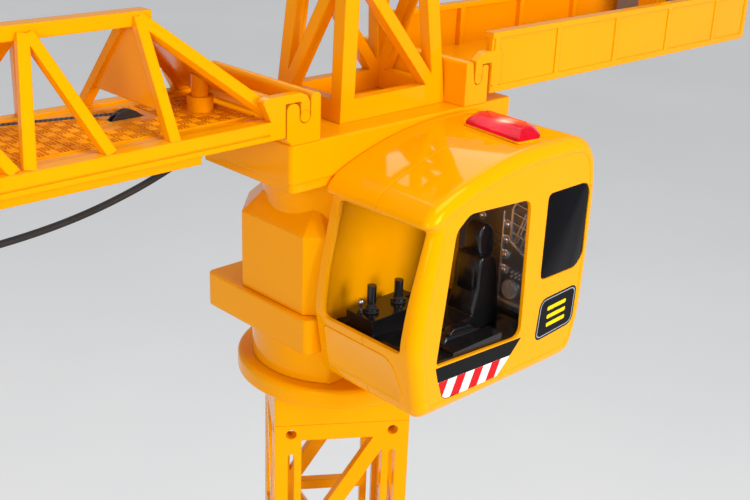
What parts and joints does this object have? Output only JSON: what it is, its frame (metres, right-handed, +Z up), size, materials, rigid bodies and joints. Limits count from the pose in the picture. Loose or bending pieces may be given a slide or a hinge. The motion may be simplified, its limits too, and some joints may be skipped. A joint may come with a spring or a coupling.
{
  "type": "toy tower crane",
  "caption": "Toy tower crane: lattice mast on a square ballasted base, slewing top with driver's cab, jib with rope trolley and hook, counter-jib with weights.",
  "frame": {"origin": "on the slewing axis, on the floor under the base", "axes": "+Z up along the slewing axis, +X towards the jib tip with the arms in their rest pose, +Y towards the driver's cab"},
  "size_m": [0.9576, 0.4064, 1.272],
  "materials": {
    "yellow_plastic": "glossy moulded warm yellow",
    "mast_plastic": "satin moulded warm yellow",
    "black_plastic": "satin black moulded plastic",
    "black_gloss": "glossy black panel",
    "silver_plastic": "silver painted relief",
    "red_lens": "clear red lens",
    "weight_plastic": "matt grey ballast",
    "white_plastic": "natural white gear plastic",
    "steel": "plain steel",
    "hook_metal": "red painted hook",
    "motor_metal": "zinc plated motor can",
    "rope": "braided black cord",
    "lead_rubber": "matt black cable sheath",
    "foot_rubber": "matt black rubber"
  },
  "bodies": {
    "tower": {"base_plate": "mast_plastic", "base_feet": "foot_rubber", "ballast_blocks": "weight_plastic", "mast_section_1": "mast_plastic", "mast_section_2": "mast_plastic", "mast_section_3": "mast_plastic", "mast_head": "mast_plastic"},
    "upper_works": {"turntable": "yellow_plastic", "slew_motor": "motor_metal", "slew_plate": "yellow_plastic", "housing": "yellow_plastic", "battery_cover": "yellow_plastic", "cover_screws": "steel", "battery_pack": "black_plastic", "platform": "yellow_plastic", "jib_bracket": "yellow_plastic", "counter_jib_bracket": "yellow_plastic", "arm_hinge_pins": "steel", "tower_head": "yellow_plastic", "jib_root_section": "yellow_plastic", "jib_post": "yellow_plastic", "jib_middle_section": "yellow_plastic", "jib_tip_section": "yellow_plastic", "jib_rails": "yellow_plastic", "tie_bars": "yellow_plastic", "tie_lugs": "yellow_plastic", "counter_jib": "yellow_plastic", "counterweights": "weight_plastic", "drive_box": "black_plastic", "drive_box_cover": "yellow_plastic", "hoist_motor": "motor_metal", "trolley_motor": "motor_metal", "hoist_rope": "rope", "trolley_rope": "rope", "cab_shell_inner": "yellow_plastic", "cab_shell_outer": "yellow_plastic", "cab_side_panel": "black_gloss", "cab_floor": "black_plastic", "cab_joysticks": "black_plastic", "cab_seat": "black_plastic", "cab_rear_panel": "silver_plastic", "beacon_lens": "red_lens", "power_lead": "lead_rubber", "lead_plug": "lead_rubber"},
    "trolley": {"trolley_frame": "yellow_plastic", "hoist_rope_falls": "rope"},
    "slew_pinion": {"slew_pinion": "white_plastic"},
    "power_switch": {"power_switch": "black_plastic"},
    "hoist_drum": {"hoist_drum": "white_plastic"},
    "trolley_drum": {"trolley_drum": "white_plastic"},
    "tip_sheave_hoist": {"tip_sheave_hoist": "black_plastic"},
    "tip_sheave_trolley": {"tip_sheave_trolley": "black_plastic"},
    "root_sheave": {"root_sheave": "black_plastic"},
    "trolley_sheave_inner": {"trolley_sheave_inner": "black_plastic"},
    "trolley_sheave_outer": {"trolley_sheave_outer": "black_plastic"},
    "trolley_wheels_rear": {"trolley_wheels_rear": "black_plastic"},
    "trolley_wheels_front": {"trolley_wheels_front": "black_plastic"},
    "hook_block": {"hook_block": "yellow_plastic"},
    "hook_sheave": {"hook_sheave": "black_plastic"},
    "hook": {"hook": "hook_metal"}
  },
  "joints": [
    {"name": "slew", "type": "hinge", "parent": "tower", "child": "upper_works", "pos_m": [0, 0, 0.83], "axis": [0, 0, 1], "range_deg": [-340, 340]},
    {"name": "slew_pinion_spin", "type": "hinge", "parent": "upper_works", "child": "slew_pinion", "pos_m": [-0.03, 0, 0.826], "axis": [0, 0, 1], "continuous": true},
    {"name": "switch_slide", "type": "slide", "parent": "upper_works", "child": "power_switch", "axis": [0, 1, 0], "range_m": [0, 0.0063]},
    {"name": "trolley_travel", "type": "slide", "parent": "upper_works", "child": "trolley", "axis": [1, 0, 0], "range_m": [-0.19, 0.19]},
    {"name": "rear_wheels_spin", "type": "hinge", "parent": "trolley", "child": "trolley_wheels_rear", "pos_m": [0.336, -0.0065, 0.9634], "axis": [0, 1, 0], "continuous": true},
    {"name": "front_wheels_spin", "type": "hinge", "parent": "trolley", "child": "trolley_wheels_front", "pos_m": [0.384, -0.0065, 0.9634], "axis": [0, 1, 0], "continuous": true},
    {"name": "inner_sheave_spin", "type": "hinge", "parent": "trolley", "child": "trolley_sheave_inner", "pos_m": [0.347, -0.006, 0.9545], "axis": [0, 1, 0], "continuous": true},
    {"name": "outer_sheave_spin", "type": "hinge", "parent": "trolley", "child": "trolley_sheave_outer", "pos_m": [0.373, -0.006, 0.9545], "axis": [0, 1, 0], "continuous": true},
    {"name": "trolley_drum_spin", "type": "hinge", "parent": "upper_works", "child": "trolley_drum", "pos_m": [0.284, -0.0065, 0.9786], "axis": [0, 1, 0], "continuous": true},
    {"name": "tip_trolley_sheave_spin", "type": "hinge", "parent": "upper_works", "child": "tip_sheave_trolley", "pos_m": [0.61, -0.0145, 0.9725], "axis": [0, 1, 0], "continuous": true},
    {"name": "root_sheave_spin", "type": "hinge", "parent": "upper_works", "child": "root_sheave", "pos_m": [0.1125, -0.0145, 0.964], "axis": [0, 1, 0], "continuous": true},
    {"name": "hook_lift", "type": "slide", "parent": "trolley", "child": "hook_block", "axis": [0, 0, 1], "range_m": [0, 0.79], "deforming": ["hoist_rope_falls"]},
    {"name": "hoist_drum_spin", "type": "hinge", "parent": "upper_works", "child": "hoist_drum", "pos_m": [0.317, -0.0065, 0.9786], "axis": [0, 1, 0], "continuous": true},
    {"name": "tip_hoist_sheave_spin", "type": "hinge", "parent": "upper_works", "child": "tip_sheave_hoist", "pos_m": [0.61, -0.006, 0.9725], "axis": [0, 1, 0], "continuous": true},
    {"name": "hook_sheave_spin", "type": "hinge", "parent": "hook_block", "child": "hook_sheave", "pos_m": [0.36, -0.006, 0.114], "axis": [0, 1, 0], "continuous": true},
    {"name": "hook_swivel", "type": "hinge", "parent": "hook_block", "child": "hook", "pos_m": [0.36, -0.006, 0.098], "axis": [0, 0, 1], "continuous": true}
  ],
  "couplings": [
    {"joint": "slew_pinion_spin", "follows": "slew", "ratio": -6},
    {"joint": "rear_wheels_spin", "follows": "trolley_travel", "rad_per_m": 294.12},
    {"joint": "front_wheels_spin", "follows": "trolley_travel", "rad_per_m": 294.12},
    {"joint": "inner_sheave_spin", "follows": "trolley_travel", "rad_per_m": -166.67},
    {"joint": "trolley_drum_spin", "follows": "trolley_travel", "rad_per_m": -217.39},
    {"joint": "tip_trolley_sheave_spin", "follows": "trolley_travel", "rad_per_m": -62.5},
    {"joint": "root_sheave_spin", "follows": "trolley_travel", "rad_per_m": -133.33},
    {"joint": "outer_sheave_spin", "follows": "hook_lift", "rad_per_m": 333.33},
    {"joint": "hook_sheave_spin", "follows": "hook_lift", "rad_per_m": -142.86},
    {"joint": "tip_hoist_sheave_spin", "follows": "hook_lift", "rad_per_m": -166.67},
    {"joint": "hoist_drum_spin", "follows": "hook_lift", "rad_per_m": -434.78}
  ]
}
